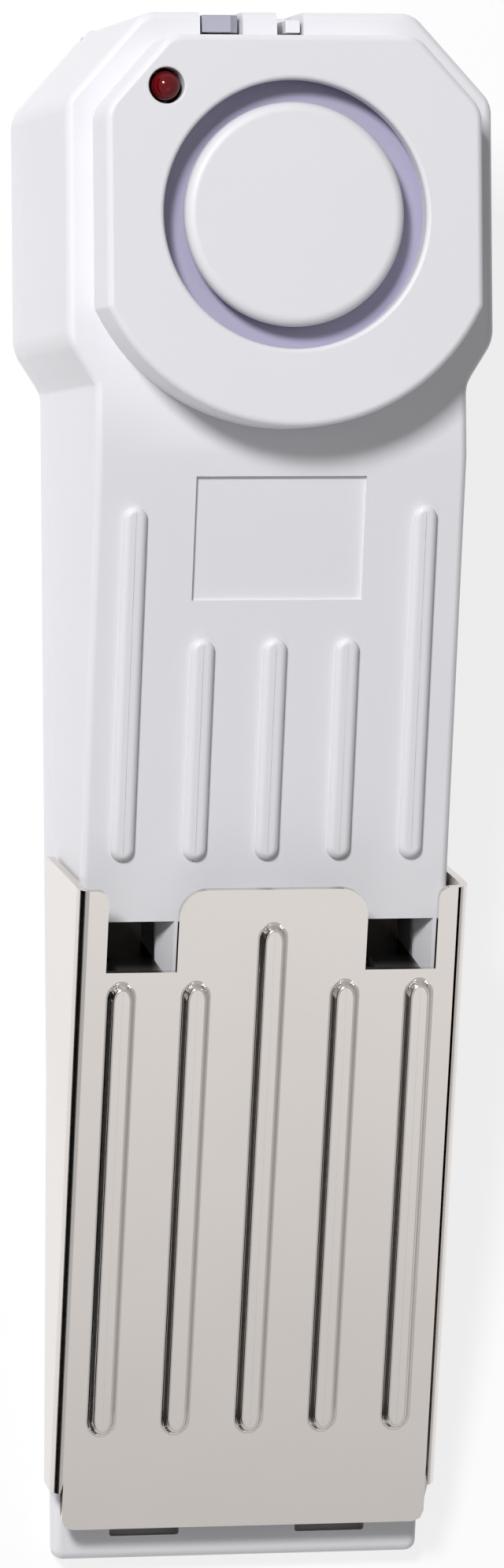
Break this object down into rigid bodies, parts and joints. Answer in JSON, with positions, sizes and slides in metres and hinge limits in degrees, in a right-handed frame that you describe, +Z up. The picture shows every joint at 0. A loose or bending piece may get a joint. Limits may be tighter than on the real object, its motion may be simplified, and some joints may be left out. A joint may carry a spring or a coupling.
{
  "type": "door stop alarm",
  "caption": "Wedge door stop alarm: white housing, sprung steel plate on the slope, raised head with round siren and red lamp, rear slide switches and a battery door underneath.",
  "frame": {"origin": "middle of the box around the part, at the underside of its anti-slip pads", "axes": "+Z up, +Y from the toe of the wedge to the head with the siren, +X to the right seen from above with the head away from the viewer"},
  "size_m": [0.045, 0.161, 0.0386],
  "materials": {
    "white_abs": "white ABS, fine satin",
    "pressed_steel": "bright rolled sheet",
    "dark_plastic": "dark glossy moulding",
    "grey_plastic": "satin moulding",
    "black_plastic": "moulded",
    "red_lens": "tinted clear resin",
    "board_green": "solder mask",
    "brass": "rolled sheet",
    "ceramic": "fired, unglazed",
    "copper_wire": "enamelled wire",
    "zinc_steel": "zinc plated",
    "battery_sleeve": "printed sleeve, left plain",
    "resistor_body": "lacquer",
    "red_wire": "insulation",
    "black_wire": "insulation",
    "yellow_wire": "insulation",
    "rubber": "matt, fine grain"
  },
  "bodies": {
    "housing": {"upper_shell": "white_abs", "lower_shell": "white_abs", "siren_cap": "white_abs", "siren_housing": "dark_plastic", "piezo_disc": "brass", "piezo_ceramic": "ceramic", "siren_clamp_ring": "black_plastic", "status_lamp": "red_lens", "circuit_board": "board_green", "switch_board": "board_green", "power_switch_body": "zinc_steel", "sensitivity_switch_body": "zinc_steel", "trigger_switch": "black_plastic", "plate_spring_left": "zinc_steel", "plate_spring_right": "zinc_steel", "transformer_core": "black_plastic", "transformer_winding": "copper_wire", "controller_chip": "black_plastic", "transistor": "black_plastic", "capacitor": "battery_sleeve", "resistor_1": "resistor_body", "resistor_2": "resistor_body", "resistor_3": "resistor_body", "vibration_sensor": "zinc_steel", "battery_9v": "battery_sleeve", "battery_terminal_positive": "zinc_steel", "battery_terminal_negative": "zinc_steel", "snap_connector": "black_plastic", "battery_wire_red": "red_wire", "battery_wire_black": "black_wire", "siren_wire_left": "black_wire", "siren_wire_right": "red_wire", "trigger_wire_left": "yellow_wire", "trigger_wire_right": "yellow_wire", "housing_screw_front_left": "zinc_steel", "housing_screw_front_right": "zinc_steel", "housing_screw_rear_left": "zinc_steel", "housing_screw_rear_right": "zinc_steel", "board_screw_left": "zinc_steel", "board_screw_right": "zinc_steel", "switch_board_screw_left": "zinc_steel", "switch_board_screw_right": "zinc_steel", "front_pad": "rubber", "rear_pad_left": "rubber", "rear_pad_right": "rubber"},
    "plate": {"pressure_plate": "pressed_steel"},
    "plunger": {"trigger_plunger": "white_abs"},
    "lever": {"switch_lever": "zinc_steel"},
    "button": {"switch_button": "ceramic"},
    "power_slider": {"power_knob": "grey_plastic"},
    "sensitivity_slider": {"sensitivity_knob": "white_abs"},
    "door": {"battery_door": "white_abs"}
  },
  "joints": [
    {"name": "plate_hinge", "type": "hinge", "parent": "housing", "child": "plate", "pos_m": [0, -0.0745, 0.0063], "axis": [-1, 0, 0], "range_deg": [0, 3.3], "stiffness_Nm_per_rad": 1.5, "springref_deg": -2.86, "deforming": ["plate_spring_left", "plate_spring_right"]},
    {"name": "plunger_slide", "type": "slide", "parent": "housing", "child": "plunger", "axis": [0, 0, -1], "range_m": [0, 0.0039]},
    {"name": "lever_hinge", "type": "hinge", "parent": "housing", "child": "lever", "pos_m": [0, -0.00202, 0.00998], "axis": [1, 0, 0], "range_deg": [0, 17.5]},
    {"name": "button_slide", "type": "slide", "parent": "housing", "child": "button", "axis": [0, 0, -1], "range_m": [0, 0.0016]},
    {"name": "power_slide", "type": "slide", "parent": "housing", "child": "power_slider", "axis": [0, 0, -1], "range_m": [0, 0.003]},
    {"name": "sensitivity_slide", "type": "slide", "parent": "housing", "child": "sensitivity_slider", "axis": [0, 0, -1], "range_m": [0, 0.003]},
    {"name": "door_slide", "type": "slide", "parent": "housing", "child": "door", "axis": [0, 1, 0], "range_m": [0, 0.06]}
  ],
  "couplings": [
    {"joint": "plunger_slide", "follows": "plate_hinge", "m_per_rad": 0.0642},
    {"joint": "lever_hinge", "follows": "plate_hinge", "ratio": 5.13},
    {"joint": "button_slide", "follows": "plate_hinge", "m_per_rad": 0.0241}
  ]
}
